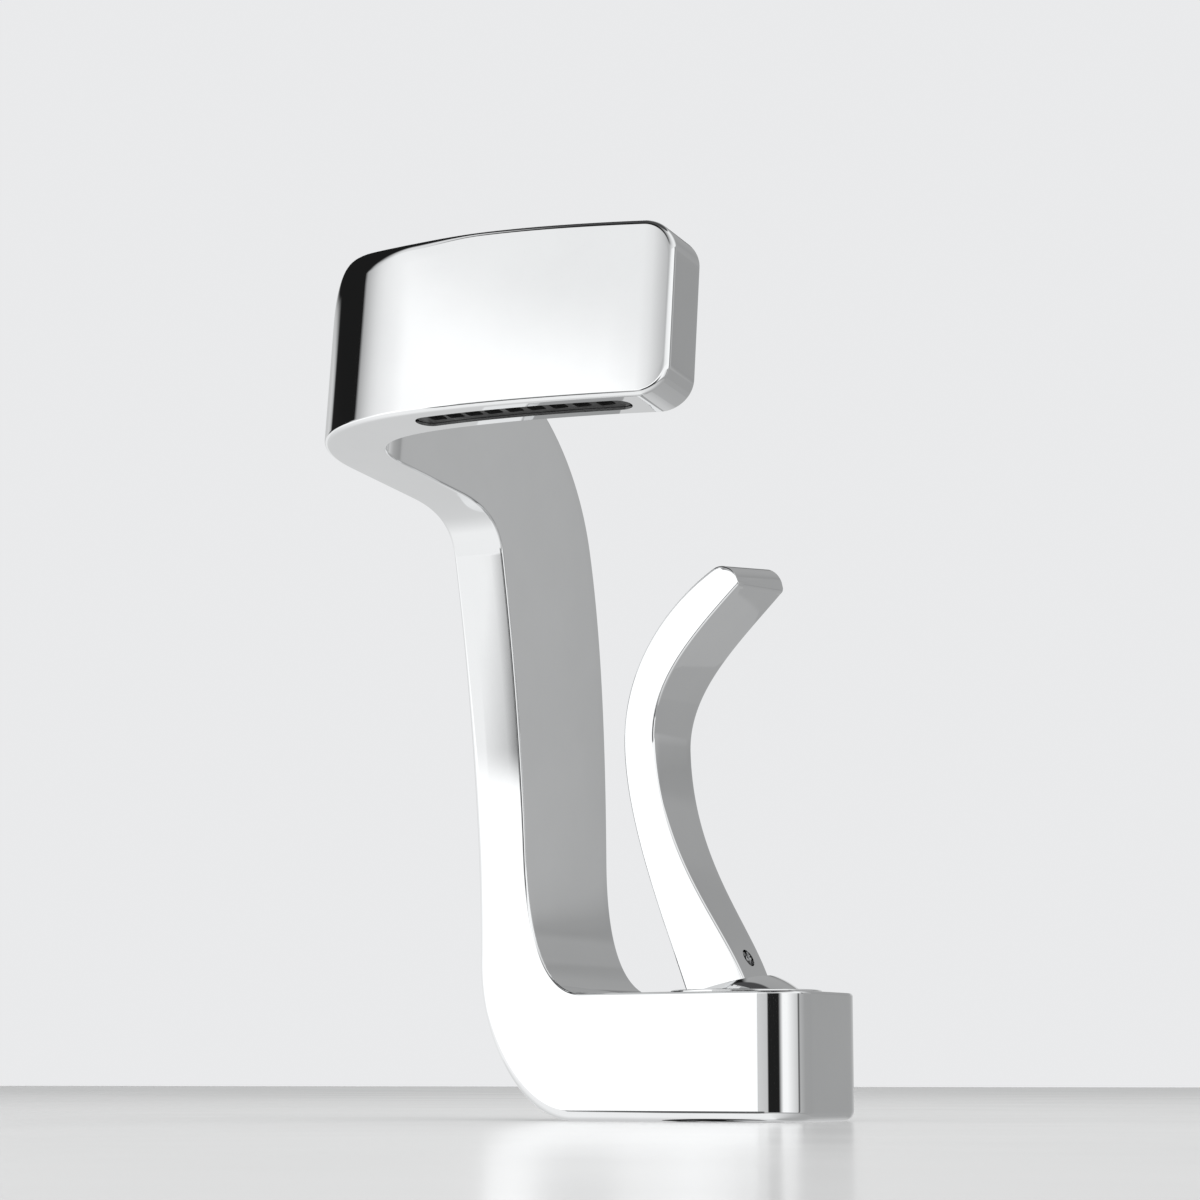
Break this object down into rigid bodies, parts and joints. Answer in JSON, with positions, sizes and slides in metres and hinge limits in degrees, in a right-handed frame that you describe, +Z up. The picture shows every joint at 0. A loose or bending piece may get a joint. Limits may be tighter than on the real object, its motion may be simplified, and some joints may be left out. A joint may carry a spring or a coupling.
{
  "type": "basin mixer faucet",
  "caption": "Deck-mounted basin mixer folded from one flat ribbon, with a slot outlet under its front slab and a curved side lever.",
  "frame": {"origin": "on the deck plane, under the middle of the base", "axes": "+Z up from the deck, +X along the base away from the column, -Y to the front where the water falls"},
  "size_m": [0.1288, 0.1681, 0.3207],
  "materials": {
    "chrome": "polished mirror plating",
    "black_rubber": "matt moulded rubber",
    "dark_plastic": "matt moulded plastic",
    "brass": "plain machined",
    "white_plastic": "matt moulded plastic",
    "ceramic": "lapped ceramic",
    "steel": "plain zinc-plated steel",
    "blue_plastic": "matt moulded plastic"
  },
  "bodies": {
    "body": {"body_casting": "chrome", "base_gasket": "black_rubber", "outlet_insert": "dark_plastic", "outlet_seal": "black_rubber", "bonnet_ring": "chrome", "retaining_nut": "brass", "cartridge_housing": "white_plastic", "housing_seal": "black_rubber", "cartridge_base": "white_plastic", "inlet_seal_hot": "black_rubber", "inlet_seal_cold": "black_rubber", "fixed_disc": "ceramic", "mounting_stud": "steel", "deck_washer": "black_rubber", "clamp_plate": "steel", "clamp_nut": "brass"},
    "spindle": {"cartridge_spindle": "blue_plastic", "pivot_pin": "steel"},
    "slider": {"disc_carrier": "white_plastic", "moving_disc": "ceramic"},
    "lever": {"lever": "chrome", "lever_stem": "brass", "set_screw": "steel", "ball_cap": "chrome"}
  },
  "joints": [
    {"name": "temperature_turn", "type": "hinge", "parent": "body", "child": "spindle", "pos_m": [0.0285, 0, 0.02], "axis": [0, 0, 1], "range_deg": [-45, 45]},
    {"name": "flow_tilt", "type": "hinge", "parent": "spindle", "child": "lever", "pos_m": [0.0285, 0, 0.02], "axis": [0, 1, 0], "range_deg": [0, 22]},
    {"name": "disc_slide", "type": "slide", "parent": "spindle", "child": "slider", "axis": [1, 0, 0], "range_m": [-0.0018, 0.0001]}
  ],
  "couplings": [
    {"joint": "disc_slide", "follows": "flow_tilt", "m_per_rad": -0.0042}
  ]
}
